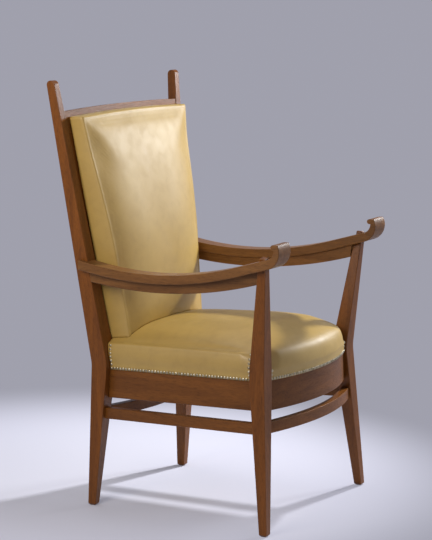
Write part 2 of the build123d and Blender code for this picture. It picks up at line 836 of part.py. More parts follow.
# Webbing: straight strips with stepped ones crossing over them
def stepped_strip(plane, start, step_in, step_out, end):
    """Strip along a plane's x, on its base at both ends and one thickness up between them."""
    level = web_thickness
    with BuildPart() as strip:
        with BuildSketch(plane):
            with BuildLine():
                base = [(start, 0), (step_in - level, 0), (step_in, level)]
                base += [(step_out, level), (step_out + level, 0), (end, 0)]
                Polyline(*base, *[(x, y + level) for x, y in reversed(base)], close=True)
            make_face()
        extrude(amount=web_width / 2, both=True)
    return strip.part


def spread(count, pitch):
    """Evenly spaced places about zero."""
    return [(index - (count - 1) / 2) * pitch for index in range(count)]


# Seat webbing under the rails, two strips to each row of springs
web_pitch = spring_pitch / 2
seat_middle_y = (seat_nose_y + seat_back_y) / 2
web_reach = spread(web_count, web_pitch)[-1] + web_width / 2
with BuildPart() as seat_webbing:
    for x in spread(web_count, web_pitch):
        front_y = front_rail_centre_y - sqrt((front_rail_radius - seat_rail_thickness / 2) ** 2 - x**2)
        with BuildSketch(seat_plane):
            with Locations((x, (front_y + rear_rail_y) / 2)):
                Rectangle(web_width, rear_rail_y - front_y)
        extrude(amount=-web_thickness)
    for y in spread(web_count, web_pitch):
        row_y = seat_middle_y + y
        end = seat_side_x(row_y) - seat_rail_thickness / 2
        row_origin = seat_plane.from_local_coords((0, row_y, 0))
        row_plane = Plane(origin=row_origin, x_dir=(1, 0, 0), z_dir=seat_plane.y_dir)
        step = web_reach + web_thickness
        add(stepped_strip(row_plane, -end, -step, step, end))
save(seat_webbing.part, "seat_webbing")

# Coil springs, drawn in at the waist, between webbing and canvas
def coil_point(quarter):
    """Place on a spring's wire after a number of quarter turns."""
    share = quarter / (4 * spring_turns)
    radius = spring_radius - spring_waist * sin(share * pi)
    height = spring_wire / 2 + share * (seat_rail_height - spring_wire)
    return (radius * cos(quarter * pi / 2), radius * sin(quarter * pi / 2), height)


with BuildPart() as spring:
    with BuildLine() as wire:
        for quarter in range(4 * spring_turns):
            ThreePointArc(coil_point(quarter), coil_point(quarter + 0.5), coil_point(quarter + 1))
    with BuildSketch(Plane(origin=wire.line @ 0, z_dir=wire.line % 0)):
        Circle(spring_wire / 2)
    sweep()

with BuildPart() as seat_springs:
    middle = seat_plane.location * Location((0, seat_middle_y, 0))
    rows = spread(spring_count, spring_pitch)
    with Locations(*[middle * Location((x, y, 0)) for x in rows for y in rows]):
        add(spring.part)
save(seat_springs.part, "seat_springs")


# Corner blocks glued and screwed into the four inner corners of the seat frame
block_bottom = seat_rail_height - corner_block_top_gap - corner_block_height
frame_inside = seat_slice(-seat_rail_thickness)


def frame_corner(toward_front):
    """Inner corner of the left half of the seat frame: place and direction to the front or back."""
    corners = frame_inside.vertices().filter_by(lambda corner: corner.X > 0).sort_by(Axis.Y)
    corner = corners[0] if toward_front else corners[-1]
    return corner.X, corner.Y, (1 if toward_front else -1)


def corner_block(toward_front):
    x, y, way = frame_corner(toward_front)
    over = seat_rail_thickness * 2
    points = [(x - corner_block_leg - over, y - way * over), (x + over, y - way * over)]
    points += [(x + over, y + way * (corner_block_leg + over))]
    with BuildPart() as block:
        with BuildSketch(seat_plane.offset(block_bottom)):
            with BuildLine():
                Polyline(*points, close=True)
            make_face()
            add(frame_inside, mode=Mode.INTERSECT)
        extrude(amount=corner_block_height)
        add(front_blank if toward_front else post_blank, mode=Mode.SUBTRACT)
    return block.part


def block_screws(toward_front):
    """Two screws through a corner block into the leg or post."""
    x, y, way = frame_corner(toward_front)
    face = (x - corner_block_leg / 2, y + way * corner_block_leg / 2)
    with BuildPart() as screws:
        for lift in spread(2, corner_block_height / 2):
            height = block_bottom + corner_block_height / 2 + lift
            head = Plane(origin=(*face, height), z_dir=(-1, way, 0))
            with Locations(seat_plane.location * head.location):
                Cylinder(block_screw_head / 2, block_screw_head / 4, align=lower)
                Cylinder(block_screw_diameter / 2, block_screw_length, align=upper)
    return screws.part


lower = (Align.CENTER, Align.CENTER, Align.MIN)
upper = (Align.CENTER, Align.CENTER, Align.MAX)
for name, make in (("corner_blocks", corner_block), ("block_screws", block_screws)):
    with BuildPart() as four:
        for toward_front in (True, False):
            add(make(toward_front))
            add(mirror(make(toward_front), about=Plane.YZ))
    save(four.part, name)


# Back upholstery, on the plane of the raked back
pad_base = back_frame_thickness / 2 + 2 * web_thickness + soft_gap


def pad_slice(inset):
    """Outline of the back pad, drawn in by an inset, with an arched top."""
    low = pad_bottom + inset / 3
    high = pad_top - inset
    half_low, half_high = [pad_half_width_base + pad_flare * up - inset for up in (low, high)]
    with BuildSketch() as outline:
        with BuildLine():
            Polyline((-half_high, high), (-half_low, low), (half_low, low), (half_high, high))
            ThreePointArc((half_high, high), (0, high + pad_top_arch), (-half_high, high))
        make_face()
        fillet(outline.vertices(), pad_corner_radius + max(inset, 0) / 8)
    return outline.sketch


def pad_form(shrink, base):
    """Outside of the back pad, or with shrink a parallel form inside it, from a base depth."""
    border = pad_edge_depth - base
    steps = [(base, 0.0), (base + border * 0.35, -1.2), (base + border * 0.7, -0.6), (pad_edge_depth, 3.0)]
    for share in (0.06, 0.16, 0.34, 0.62, 1.0):
        inset = share * pad_crown_flat
        steps.append((crown(inset, pad_crown_flat, pad_edge_depth, pad_crown_depth) - shrink, inset))
    with BuildPart() as form:
        for depth, inset in steps:
            with BuildSketch(back_plane.offset(depth)):
                add(pad_slice(inset + shrink))
        loft(ruled=True)
    return form.part


# Back cover: leather over the pad, resting on the seat
seat_clearance = seat_form(-soft_gap, seat_show_wood)
with BuildPart() as back_leather:
    add(pad_form(0.0, pad_base))
    add(pad_form(leather_thickness, pad_base - leather_thickness), mode=Mode.SUBTRACT)
    add(seat_clearance, mode=Mode.SUBTRACT)
save(back_leather.part, "back_leather")

# Back stuffing
with BuildPart() as back_stuffing:
    add(pad_form(leather_thickness + soft_gap, pad_base))
    add(seat_clearance, mode=Mode.SUBTRACT)
save(back_stuffing.part, "back_stuffing")

# Back webbing: rows on the stiles, columns over them from the lower rail to the crest rail
web_low = lower_rail_bottom + lower_rail_height
web_high = crest_top - crest_height
web_front = back_plane.offset(back_frame_thickness / 2)
row_pitch = (web_high - web_low) / back_web_rows
row_spread = spread(back_web_rows, row_pitch)
with BuildPart() as back_webbing:
    for place in row_spread:
        up = (web_low + web_high) / 2 + place
        with BuildSketch(web_front):
            with Locations((0, up)):
                Rectangle(2 * (post_back_x(up, -1) - stile_width / 2), web_width)
        extrude(amount=web_thickness)
    for x in spread(back_web_columns, 2 * web_width):
        column_origin = web_front.from_local_coords((x, (web_low + web_high) / 2, 0))
        across = web_front.y_dir.cross(web_front.z_dir)
        column_plane = Plane(origin=column_origin, x_dir=web_front.y_dir, z_dir=across)
        reach = (web_high - web_low) / 2 + lower_rail_height / 2
        step = row_spread[-1] + web_width / 2 + web_thickness
        add(stepped_strip(column_plane, -reach, -step, step, reach))
save(back_webbing.part, "back_webbing")

# Outside back: a flat leather panel on the rear of the back frame
panel_low = lower_rail_bottom + back_panel_margin
panel_high = crest_top - 2 * back_panel_margin
panel_rear = -back_frame_thickness / 2 - soft_gap - leather_thickness


def panel_half(up, edge=0.0):
    """Half the width of the outside back at a place up the rake, in from its edge."""
    return post_back_x(up, -1) - back_panel_margin - edge


with BuildPart() as outside_back:
    with BuildSketch(back_plane.offset(panel_rear)):
        with BuildLine():
            corners = [(panel_half(up), up) for up in (panel_low, panel_high)]
            Polyline(*corners, *[(-x, up) for x, up in reversed(corners)], close=True)
        make_face()
    extrude(amount=leather_thickness)
save(outside_back.part, "outside_back")

# One dome-headed nail, its head resting on the leather and its shank pointing down
dome_radius = ((nail_head_diameter / 2) ** 2 + nail_head_height**2) / (2 * nail_head_height)
dome_half = asin(nail_head_diameter / 2 / dome_radius) / 2
with BuildPart() as nail:
    with BuildSketch(Plane.XZ):
        with BuildLine():
            rim = (nail_head_diameter / 2, 0)
            top = (0, nail_head_height)
            dome_mid = (dome_radius * sin(dome_half), nail_head_height - dome_radius * (1 - cos(dome_half)))
            ThreePointArc(rim, dome_mid, top)
            Polyline(top, (0, 0), rim)
        make_face()
    revolve(axis=Axis.Z)
    Cylinder(nail_shank_diameter / 2, nail_shank_length, align=upper)


def row_places(start, end, pitch):
    """Places from start to end, both included, about one pitch apart."""
    count = ceil(abs(end - start) / pitch)
    return [start + (end - start) * index / count for index in range(count + 1)]


# Seat nails: a row along the lower edge of the cover, and upright rows beside legs and posts
cover_skin = soft_gap + leather_thickness
nail_low = seat_show_wood + nail_edge
nail_rows = row_places(nail_low, seat_border_top - nail_edge, nail_pitch_upright)
nail_clear = nail_head_diameter + nail_edge / 2
side_ends = (seat_front_y + nail_clear, seat_rear_y - nail_clear)
side_slope = (seat_half_width_rear - seat_half_width_front) / (seat_rear_y - seat_front_y)
arc_radius = front_rail_radius + cover_skin
arc_end = asin((front_rail_inner_x - nail_clear) / arc_radius)
rear_end = post_at_rail[0] - post_at_rail[2] / 2 - nail_clear


def border_bulge(lift):
    """How far the stuffed border stands out at one height."""
    share = max(0.0, (lift - seat_skirt_top) / (seat_border_top - seat_skirt_top))
    return 4 * seat_border_bulge * share * (1 - share)


def on_seat(x, y, lift, outward):
    """Place of a nail on the seat cover, its head facing outward."""
    return seat_plane.location * Plane(origin=(x, y, lift), z_dir=(*outward, 0)).location


def side_nail(y, lift, side):
    x = seat_side_x(y) + cover_skin + border_bulge(lift)
    return on_seat(side * x, y, lift, (side, -side_slope))


def front_nail(angle, lift):
    radius = arc_radius + border_bulge(lift)
    place = (radius * sin(angle), front_rail_centre_y - radius * cos(angle))
    return on_seat(*place, lift, (sin(angle), -cos(angle)))


seat_nail_places = []
for side in (-1, 1):
    for y in row_places(*side_ends, nail_pitch):
        seat_nail_places.append(side_nail(y, nail_low, side))
    for lift in nail_rows[1:]:
        for y in side_ends:
            seat_nail_places.append(side_nail(y, lift, side))
        seat_nail_places.append(front_nail(side * arc_end, lift))
for angle in row_places(-arc_end, arc_end, nail_pitch / arc_radius):
    seat_nail_places.append(front_nail(angle, nail_low))
for x in row_places(-rear_end, rear_end, nail_pitch):
    seat_nail_places.append(on_seat(x, seat_back_y + cover_skin, nail_low, (0, 1)))

with BuildPart() as seat_nails:
    with Locations(*seat_nail_places):
        add(nail.part)
save(seat_nails.part, "seat_nails")

# Nails round the edge of the outside back
back_nail_places = []
edge_ups = row_places(panel_low + nail_edge * 2, panel_high - nail_edge * 2, nail_pitch_back)
for side in (-1, 1):
    for up in edge_ups:
        back_nail_places.append((side * panel_half(up, nail_edge * 2), up))
for up in (edge_ups[0], edge_ups[-1]):
    end = panel_half(up, nail_edge * 2)
    for x in row_places(-end, end, nail_pitch_back)[1:-1]:
        back_nail_places.append((x, up))

with BuildPart() as back_nails:
    panel_face = back_plane.offset(panel_rear).location
    with Locations(*[panel_face * Location((x, up, 0), (180, 0, 0)) for x, up in back_nail_places]):
        add(nail.part)
save(back_nails.part, "back_nails")
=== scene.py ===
import math

import bmesh
import bpy
import numpy as np
from mathutils import Matrix, Vector
from mathutils.bvhtree import BVHTree
from mathutils.kdtree import KDTree

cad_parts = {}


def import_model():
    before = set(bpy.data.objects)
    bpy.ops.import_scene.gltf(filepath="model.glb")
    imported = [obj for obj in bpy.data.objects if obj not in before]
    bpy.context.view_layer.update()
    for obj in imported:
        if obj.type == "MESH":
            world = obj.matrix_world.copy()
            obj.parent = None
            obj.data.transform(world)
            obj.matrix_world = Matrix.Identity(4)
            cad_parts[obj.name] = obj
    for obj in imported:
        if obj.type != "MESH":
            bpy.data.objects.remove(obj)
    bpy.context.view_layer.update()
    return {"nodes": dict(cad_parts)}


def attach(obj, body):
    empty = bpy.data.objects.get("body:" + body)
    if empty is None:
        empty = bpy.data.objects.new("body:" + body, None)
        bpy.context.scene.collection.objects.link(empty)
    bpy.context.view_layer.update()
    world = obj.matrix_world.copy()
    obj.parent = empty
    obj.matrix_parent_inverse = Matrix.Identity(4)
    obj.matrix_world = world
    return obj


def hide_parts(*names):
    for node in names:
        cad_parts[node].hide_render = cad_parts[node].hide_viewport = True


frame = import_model()

# Viewpoint: a long lens at sitting height, looking at the chair's right-hand front corner,
# a little down on the seat.
film_height = 24.0
focal_pixels, frame_pixels = 1953.9, 540
view_data = bpy.data.cameras.new("viewpoint")
view_data.sensor_fit = "VERTICAL"
view_data.sensor_height = film_height
view_data.lens = focal_pixels / frame_pixels * film_height
viewpoint = bpy.data.objects.new("viewpoint", view_data)
viewpoint.location = (-4.4047, -2.3913, 1.3743)
viewpoint.rotation_euler = Vector((0.8675, 0.4737, -0.1521)).to_track_quat("-Z", "Y").to_euler()
bpy.context.scene.collection.objects.link(viewpoint)
bpy.context.scene.camera = viewpoint


# Floor: pale studio paper laid flat under the chair, matt and unprinted. For the rays that show a background it
# glows with a painted pool of light, bright round the chair and falling off to an even grey further out, so that
# no edge of it shows; near the chair a small share of that glow lightens the floor and the shadows on it.
def node(tree, kind, inputs=(), **settings):
    """New node with its settings; an input is a value, or a socket to join to it."""
    made = tree.nodes.new(kind)
    for name, value in settings.items():
        setattr(made, name, value)
    for name, value in dict(inputs).items():
        if isinstance(value, bpy.types.NodeSocket):
            tree.links.new(value, made.inputs[name])
        else:
            made.inputs[name].default_value = value
    return made


def arithmetic(tree, operation, *values):
    """Result of a math node on one or two values."""
    return node(tree, "ShaderNodeMath", dict(enumerate(values)), operation=operation).outputs["Value"]


def carry(tree, value, old=(0.0, 1.0), new=(0.0, 1.0), way="LINEAR"):
    """Value carried from an old range to a new one."""
    made = node(tree, "ShaderNodeMapRange",
                {"Value": value, "From Min": old[0], "From Max": old[1], "To Min": new[0], "To Max": new[1]},
                interpolation_type=way)
    return made.outputs["Result"]


def mix_colour(tree, factor, first, second, way="MIX"):
    """Two colours mixed, or blended in another way."""
    made = node(tree, "ShaderNodeMix", {0: factor, 6: first, 7: second}, data_type="RGBA", blend_type=way)
    return made.outputs[2]


def object_place(tree):
    """Place on a piece, in the object's own axes."""
    return node(tree, "ShaderNodeTexCoord").outputs["Object"]


def blank_material(name):
    """Material with an empty node tree, and its output node."""
    material = bpy.data.materials.new(name)
    material.use_nodes = True
    material.node_tree.nodes.clear()
    return material, material.node_tree, material.node_tree.nodes.new("ShaderNodeOutputMaterial")


def seen_ray(tree):
    """One for the rays that show a background: camera, glossy and transmission rays."""
    rays = node(tree, "ShaderNodeLightPath").outputs
    seen = arithmetic(tree, "MAXIMUM", rays["Is Camera Ray"], rays["Is Glossy Ray"])
    return arithmetic(tree, "MAXIMUM", seen, rays["Is Transmission Ray"])


paper = (0.63, 0.63, 0.715, 1)
painted_pool_tone = (0.80, 0.80, 0.97, 1)
paper_far = (0.352, 0.352, 0.415, 1)
painted_pool_middle, painted_pool_reach, painted_pool_end = (0.0, 0.44, 0.0), 0.28, 1.2
painted_glow_near = 0.1
floor_mesh = bpy.data.meshes.new("floor")
floor_shape = bmesh.new()
bmesh.ops.create_circle(floor_shape, cap_ends=True, segments=96, radius=120.0)
floor_shape.to_mesh(floor_mesh)
floor_shape.free()
floor = bpy.data.objects.new("floor", floor_mesh)
bpy.context.scene.collection.objects.link(floor)
floor_paper, tree, out = blank_material("studio_paper")
# Painted light: the glow's tone and share fade with distance from a point near the chair, brightest there.
reach = node(tree, "ShaderNodeVectorMath", {0: object_place(tree), 1: painted_pool_middle}, operation="DISTANCE")
fall = carry(tree, reach.outputs["Value"], (painted_pool_reach, painted_pool_end), way="SMOOTHSTEP")
lit_paper = node(tree, "ShaderNodeBsdfDiffuse", {"Color": paper})
tone = mix_colour(tree, fall, painted_pool_tone, paper_far)
glowing_paper = node(tree, "ShaderNodeEmission", {"Color": tone, "Strength": 1.0})
share = arithmetic(tree, "MULTIPLY", carry(tree, fall, new=(painted_glow_near, 1.0)), seen_ray(tree))
blend = node(tree, "ShaderNodeMixShader",
             {0: share, 1: lit_paper.outputs["BSDF"], 2: glowing_paper.outputs["Emission"]})
tree.links.new(blend.outputs["Shader"], out.inputs["Surface"])
floor_mesh.materials.append(floor_paper)

# Studio light: a small box on the chair's left throws clear shadows, a lower one glances off the leather,
# a weak warm fill opens the near side, and a cool box overhead and an even grey room lift the tops.
aim = Vector((0, 0, 0.5))
soft_boxes = (
    ("key_box", (2.15, -0.52, 1.82), 0.14, 92.0, (0.97, 0.98, 1.0)),
    ("glance_box", (2.58, -1.21, 1.56), 0.5, 33.0, (0.95, 0.97, 1.0)),
    ("near_fill", (-1.4, 0.14, 1.25), 0.7, 11.5, (1.0, 0.92, 0.80)),
    ("top_box", (0.3, 0.9, 3.0), 1.6, 10.0, (0.84, 0.91, 1.0)),
)
for name, place, size, power, colour in soft_boxes:
    lamp_data = bpy.data.lights.new(name, "AREA")
    lamp_data.shape = "SQUARE"
    lamp_data.size = size
    lamp_data.energy = power
    lamp_data.color = colour
    lamp = bpy.data.objects.new(name, lamp_data)
    lamp.visible_glossy = name != "key_box"
    lamp.location = place
    lamp.rotation_euler = (aim - Vector(place)).to_track_quat("-Z", "Y").to_euler()
    bpy.context.scene.collection.objects.link(lamp)
room = bpy.data.worlds.new("room")
room.use_nodes = True
tree = room.node_tree
tree.nodes.clear()
room_light = node(tree, "ShaderNodeBackground", {"Color": (0.84, 0.84, 0.90, 1), "Strength": 0.30})
room_seen = node(tree, "ShaderNodeBackground", {"Color": paper_far, "Strength": 1.0})
room_mix = node(tree, "ShaderNodeMixShader",
                {0: seen_ray(tree), 1: room_light.outputs["Background"], 2: room_seen.outputs["Background"]})
node(tree, "ShaderNodeOutputWorld", {"Surface": room_mix.outputs["Shader"]})
bpy.context.scene.world = room
bpy.context.scene.view_settings.view_transform = "Standard"


# Wooden frame: posts, legs, rails, stretchers and arms of one stained hardwood, joined with tenons and finished
# with a thin satin varnish. Along the rounded edges the colour is painted paler, partly as rubbed wear and partly
# as a painted highlight.
def new_group(name, takes, gives):
    """Shader node group with its sockets, and its inner input and output nodes."""
    group = bpy.data.node_groups.new(name, "ShaderNodeTree")
    for sockets, way in ((takes, "INPUT"), (gives, "OUTPUT")):
        for socket, kind in sockets.items():
            group.interface.new_socket(name=socket, in_out=way, socket_type="NodeSocket" + kind)
    return group, group.nodes.new("NodeGroupInput"), group.nodes.new("NodeGroupOutput")


def noise(tree, place, scale, detail, **more):
    """Noise over a place."""
    made = node(tree, "ShaderNodeTexNoise", {"Vector": place, "Scale": scale, "Detail": detail, **more})
    return made.outputs["Fac"]


def ramp(tree, value, stops):
    """Colour ramp with its stops as (place, colour) pairs."""
    made = node(tree, "ShaderNodeValToRGB", {"Fac": value})
    while len(made.color_ramp.elements) < len(stops):
        made.color_ramp.elements.new(0.5)
    for element, (position, colour) in zip(made.color_ramp.elements, stops):
        element.position = position
        element.color = colour
    return made.outputs["Color"]


def grey(value):
    """Plain grey as a colour."""
    return (value, value, value, 1)


def relief(tree, height, strength, distance, **more):
    """Normal of a surface with a fine relief."""
    made = node(tree, "ShaderNodeBump", {"Strength": strength, "Distance": distance, "Height": height, **more})
    return made.outputs["Normal"]


def coat(tree, out, inputs):
    """Principled surface, joined to the material's output."""
    made = node(tree, "ShaderNodeBsdfPrincipled", inputs)
    tree.links.new(made.outputs["BSDF"], out.inputs["Surface"])


figure, takes, gives = new_group(
    "wood_figure",
    {"Vector": "Vector", "Dark": "Color", "Light": "Color"},
    {"Color": "Color", "Roughness": "Float", "Height": "Float"},
)
rings = noise(figure, takes.outputs["Vector"], 42.0, 5.0, Roughness=0.62, Distortion=0.9)
pores = noise(figure, takes.outputs["Vector"], 620.0, 3.0, Roughness=0.6)
patches = noise(figure, takes.outputs["Vector"], 7.0, 2.0)
bands = ramp(figure, rings, ((0.30, grey(0)), (0.70, grey(1))))
stain = mix_colour(figure, bands, takes.outputs["Dark"], takes.outputs["Light"])
flecks = ramp(figure, pores, ((0.34, grey(0.55)), (0.50, grey(1))))
stain = mix_colour(figure, 0.75, stain, flecks, "MULTIPLY")
clouds = ramp(figure, patches, ((0.3, grey(0.82)), (0.7, grey(1.1))))
stain = mix_colour(figure, 0.8, stain, clouds, "MULTIPLY")
figure.links.new(stain, gives.inputs["Color"])
figure.links.new(carry(figure, pores, (0.3, 0.7), (0.5, 0.34)), gives.inputs["Roughness"])
figure.links.new(pores, gives.inputs["Height"])

# Edge mask: the wood is painted paler along its rounded edges, in uneven patches, partly rubbed wear and partly a
# painted highlight.
wear_and_highlight, takes, gives = new_group("edge_wear_and_highlight", {"Rounded": "Vector", "Vector": "Vector"}, {"Mask": "Float"})
faces = node(wear_and_highlight, "ShaderNodeNewGeometry")
bend = node(wear_and_highlight, "ShaderNodeVectorMath", {0: takes.outputs["Rounded"], 1: faces.outputs["Normal"]},
            operation="DOT_PRODUCT")
edge = carry(wear_and_highlight, bend.outputs["Value"], (0.995, 0.80))
patchiness = carry(wear_and_highlight, noise(wear_and_highlight, takes.outputs["Vector"], 26.0, 4.0), (0.38, 0.62))
wear_and_highlight.links.new(arithmetic(wear_and_highlight, "MULTIPLY", edge, patchiness), gives.inputs["Mask"])

rubbed_and_highlit_edge = (0.36, 0.16, 0.045, 1)
edge_radius = 0.0022


def stained_wood(name, stretch, dark, light):
    """Stained wood whose grain runs along the axis with the small stretch."""
    material, tree, out = blank_material(name)
    place = object_place(tree)
    along = node(tree, "ShaderNodeMapping", {"Vector": place, "Scale": stretch})
    grain = node(tree, "ShaderNodeGroup", {"Vector": along.outputs["Vector"], "Dark": dark, "Light": light},
                 node_tree=figure)
    rounded = node(tree, "ShaderNodeBevel", {"Radius": edge_radius}, samples=6)
    worn_and_highlit = node(tree, "ShaderNodeGroup", {"Rounded": rounded.outputs["Normal"], "Vector": place}, node_tree=wear_and_highlight)
    coat(tree, out, {
        "Base Color": mix_colour(tree, worn_and_highlit.outputs["Mask"], grain.outputs["Color"], rubbed_and_highlit_edge),
        "Roughness": grain.outputs["Roughness"],
        "Specular IOR Level": 0.25, "Coat Weight": 0.12, "Coat Roughness": 0.25,
        "Normal": relief(tree, grain.outputs["Height"], 0.12, 0.0004, Normal=rounded.outputs["Normal"]),
    })
    return material


def dress(names, material):
    """Give CAD nodes one material."""
    for name in names:
        slots = frame["nodes"][name].data.materials
        slots.clear()
        slots.append(material)


def both(*names):
    """Names of the left-hand and right-hand pieces."""
    return [name + side for name in names for side in ("_left", "_right")]


drawn_out = 0.07
grain_up, grain_lengthwise, grain_across = (1, 1, drawn_out), (1, drawn_out, 1), (drawn_out, 1, 1)
post_dark, post_light = (0.142, 0.044, 0.0056, 1), (0.238, 0.077, 0.0100, 1)
# The arms get a paler, greyer copy of the same wood: a painted sheen standing in for the light their tops catch.
arm_sheen_dark, arm_sheen_light = (0.140, 0.0565, 0.0144, 1), (0.237, 0.105, 0.0300, 1)
rail_dark, rail_light = (0.132, 0.044, 0.0070, 1), (0.218, 0.077, 0.0125, 1)
dress(both("rear_post", "front_leg", "back_stile"),
      stained_wood("upright_wood", grain_up, post_dark, post_light))
dress(both("arm", "arm_rail"),
      stained_wood("arm_wood_painted_sheen", grain_lengthwise, arm_sheen_dark, arm_sheen_light))
dress(both("seat_side_rail", "side_stretcher"),
      stained_wood("lengthwise_wood", grain_lengthwise, rail_dark, rail_light))
dress(["seat_front_rail", "seat_rear_rail", "front_stretcher", "rear_stretcher", "crest_rail", "back_lower_rail"],
      stained_wood("crosswise_wood", grain_across, rail_dark, rail_light))

# Corner blocks: raw planed wood without stain or varnish, glued and screwed into the corners
# of the seat frame to stiffen it.
raw_wood, tree, out = blank_material("raw_wood")
along = node(tree, "ShaderNodeMapping", {"Vector": object_place(tree), "Scale": (0.1, 1, 1)})
grain = node(tree, "ShaderNodeGroup",
             {"Vector": along.outputs["Vector"], "Dark": (0.36, 0.22, 0.11, 1), "Light": (0.56, 0.39, 0.22, 1)},
             node_tree=figure)
coat(tree, out, {"Base Color": grain.outputs["Color"], "Roughness": 0.72,
                 "Normal": relief(tree, grain.outputs["Height"], 0.2, 0.0005)})
dress(["corner_blocks"], raw_wood)


# Webbing: strips of woven jute, tacked under the seat rails and on the front of the back frame, and
# interlaced where they cross. They carry the springs of the seat and the stuffing of the back.
def link(name, mesh):
    """New object in the scene."""
    made = bpy.data.objects.new(name, mesh)
    bpy.context.scene.collection.objects.link(made)
    return made


def settle(form):
    """Turn the form's modifiers into a plain mesh."""
    bpy.context.view_layer.update()
    made = bpy.data.meshes.new_from_object(form.evaluated_get(bpy.context.evaluated_depsgraph_get()))
    form.modifiers.clear()
    form.data = made


def new_tree(name, takes):
    """Geometry node tree with named inputs, and its input and output nodes."""
    tree = bpy.data.node_groups.new(name, "GeometryNodeTree")
    tree.interface.new_socket(name="Geometry", in_out="INPUT", socket_type="NodeSocketGeometry")
    for socket, kind in takes.items():
        tree.interface.new_socket(name=socket, in_out="INPUT", socket_type="NodeSocket" + kind)
    tree.interface.new_socket(name="Geometry", in_out="OUTPUT", socket_type="NodeSocketGeometry")
    return tree, tree.nodes.new("NodeGroupInput"), tree.nodes.new("NodeGroupOutput")


def grow_nodes(form, tree, values):
    """Run a geometry node tree on a form and keep the plain mesh."""
    made = form.modifiers.new(tree.name, "NODES")
    made.node_group = tree
    for item in tree.interface.items_tree:
        if item.in_out == "INPUT" and item.name in values:
            made[item.identifier] = values[item.name]
    settle(form)


weave, takes, gives = new_group(
    "plain_weave", {"Vector": "Vector", "Pitch": "Float"}, {"Mask": "Float", "Height": "Float"}
)
axes = node(weave, "ShaderNodeSeparateXYZ", {"Vector": takes.outputs["Vector"]})
waves = []
for axis in ("X", "Y"):
    steps = arithmetic(weave, "DIVIDE", axes.outputs[axis], takes.outputs["Pitch"])
    waves.append(arithmetic(weave, "SINE", arithmetic(weave, "MULTIPLY", steps, math.pi)))
over = arithmetic(weave, "MULTIPLY", *waves)
weave.links.new(carry(weave, over, (-1.0, 1.0)), gives.inputs["Mask"])
weave.links.new(arithmetic(weave, "ABSOLUTE", over), gives.inputs["Height"])


def woven(name, pitch, dark, light):
    """Plain woven cloth with threads of two tones."""
    material, tree, out = blank_material(name)
    place = object_place(tree)
    cloth = node(tree, "ShaderNodeGroup", {"Vector": place, "Pitch": pitch}, node_tree=weave)
    slubs = ramp(tree, noise(tree, place, 140.0, 3.0), ((0.3, grey(0.7)), (0.7, grey(1.1))))
    tone = mix_colour(tree, cloth.outputs["Mask"], dark, light)
    coat(tree, out, {"Base Color": mix_colour(tree, 0.6, tone, slubs, "MULTIPLY"),
                     "Roughness": 0.9, "Sheen Weight": 0.2,
                     "Normal": relief(tree, cloth.outputs["Height"], 0.6, 0.0004)})
    return material


jute = woven("jute_webbing", 0.0022, (0.20, 0.13, 0.062, 1), (0.36, 0.25, 0.125, 1))
straps, takes, gives = new_tree("straps", {"Width": "Float", "Thickness": "Float", "Finish": "Material"})
paths = node(straps, "GeometryNodeMeshToCurve", {"Mesh": takes.outputs["Geometry"]})
paths = node(straps, "GeometryNodeSetCurveNormal", {"Curve": paths.outputs["Curve"]}, mode="Z_UP")
strip = node(straps, "GeometryNodeCurvePrimitiveQuadrilateral",
             {"Width": takes.outputs["Width"], "Height": takes.outputs["Thickness"]}, mode="RECTANGLE")
strip = node(straps, "GeometryNodeCurveToMesh",
             {"Curve": paths.outputs["Curve"], "Profile Curve": strip.outputs["Curve"], "Fill Caps": True})
strip = node(straps, "GeometryNodeRealizeInstances", {"Geometry": strip.outputs["Mesh"]})
strip = node(straps, "GeometryNodeSetMaterial",
             {"Geometry": strip.outputs["Geometry"], "Material": takes.outputs["Finish"]})
straps.links.new(strip.outputs["Geometry"], gives.inputs["Geometry"])
strap_width, strap_thickness = 0.05, 0.0014
strap_lift, lift_reach = 0.0008, 0.024


def lay_straps(name, lengthwise, crosswise, middle, matrix, replaced):
    """Interlaced strips; each strip is (place across, start, end), on both sides of a middle height."""
    points, edges = [], []
    for strips, others, swap in ((lengthwise, crosswise, False), (crosswise, lengthwise, True)):
        for number, (across, start, end) in enumerate(strips):
            first = len(points)
            for along in np.linspace(start, end, 60):
                lift = 0.0
                for other, (cross, _, _) in enumerate(others):
                    sign = 1 if (number + other + swap) % 2 else -1
                    lift += sign * strap_lift * math.exp(-(((along - cross) / lift_reach) ** 4))
                points.append((along, across, middle + lift) if swap else (across, along, middle + lift))
            edges += [(index, index + 1) for index in range(first, len(points) - 1)]
    mesh = bpy.data.meshes.new(name)
    mesh.from_pydata(points, edges, [])
    made = link(name, mesh)
    grow_nodes(made, straps, {"Width": strap_width, "Thickness": strap_thickness, "Finish": jute})
    made.data.transform(matrix)
    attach(made, "root")
    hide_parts(replaced)


def side_edge(y):
    """Half the width of the seat frame at a place along it."""
    return 0.236 - 0.0466 * (y + 0.2227)


def back_half(up):
    """Half the width between the posts at a place up the back."""
    return 0.187 + 0.1435 * up


seat_place = Matrix.Translation((0, 0, 0.292)) @ Matrix.Rotation(math.radians(-2.0), 4, "X")
front_radius, front_centre = 0.5718, 0.2748
strap_pitch, seat_middle, tacked_in, rear_end = 0.056, -0.0295, 0.012, 0.226
steps = [strap_pitch * step for step in (-2, -1, 0, 1, 2)]
lengthwise = [(x, front_centre - math.sqrt((front_radius - tacked_in) ** 2 - x**2), rear_end) for x in steps]
crosswise = []
for y in steps:
    half = side_edge(y + seat_middle) - tacked_in
    crosswise.append((y + seat_middle, -half, half))
lay_straps("seat_straps", lengthwise, crosswise, -0.0016, seat_place, "seat_webbing")

